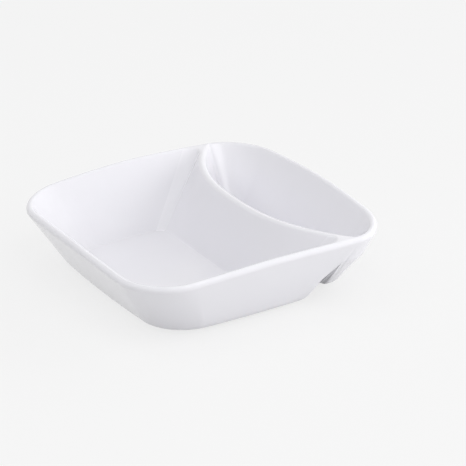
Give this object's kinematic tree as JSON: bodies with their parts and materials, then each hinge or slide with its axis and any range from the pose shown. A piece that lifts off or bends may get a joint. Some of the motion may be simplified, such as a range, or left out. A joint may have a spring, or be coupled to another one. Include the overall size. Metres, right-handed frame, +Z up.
{
  "type": "divided olive dish",
  "caption": "Low glossy white serving dish, rounded oblong with flared walls, split by a bowed hollow divider into a large well for olives and a narrow side well for stones.",
  "frame": {"origin": "on the table, under the middle of the dish's outline", "axes": "+Z up, +X across the wells towards the side well, +Y along the divider"},
  "size_m": [0.291, 0.335, 0.074],
  "materials": {
    "dish_white": "gloss"
  },
  "bodies": {
    "root": {"rim": "dish_white", "divider": "dish_white", "main_basin": "dish_white", "side_basin": "dish_white", "main_foot_ring": "dish_white", "side_foot_ring": "dish_white"}
  },
  "joints": []
}
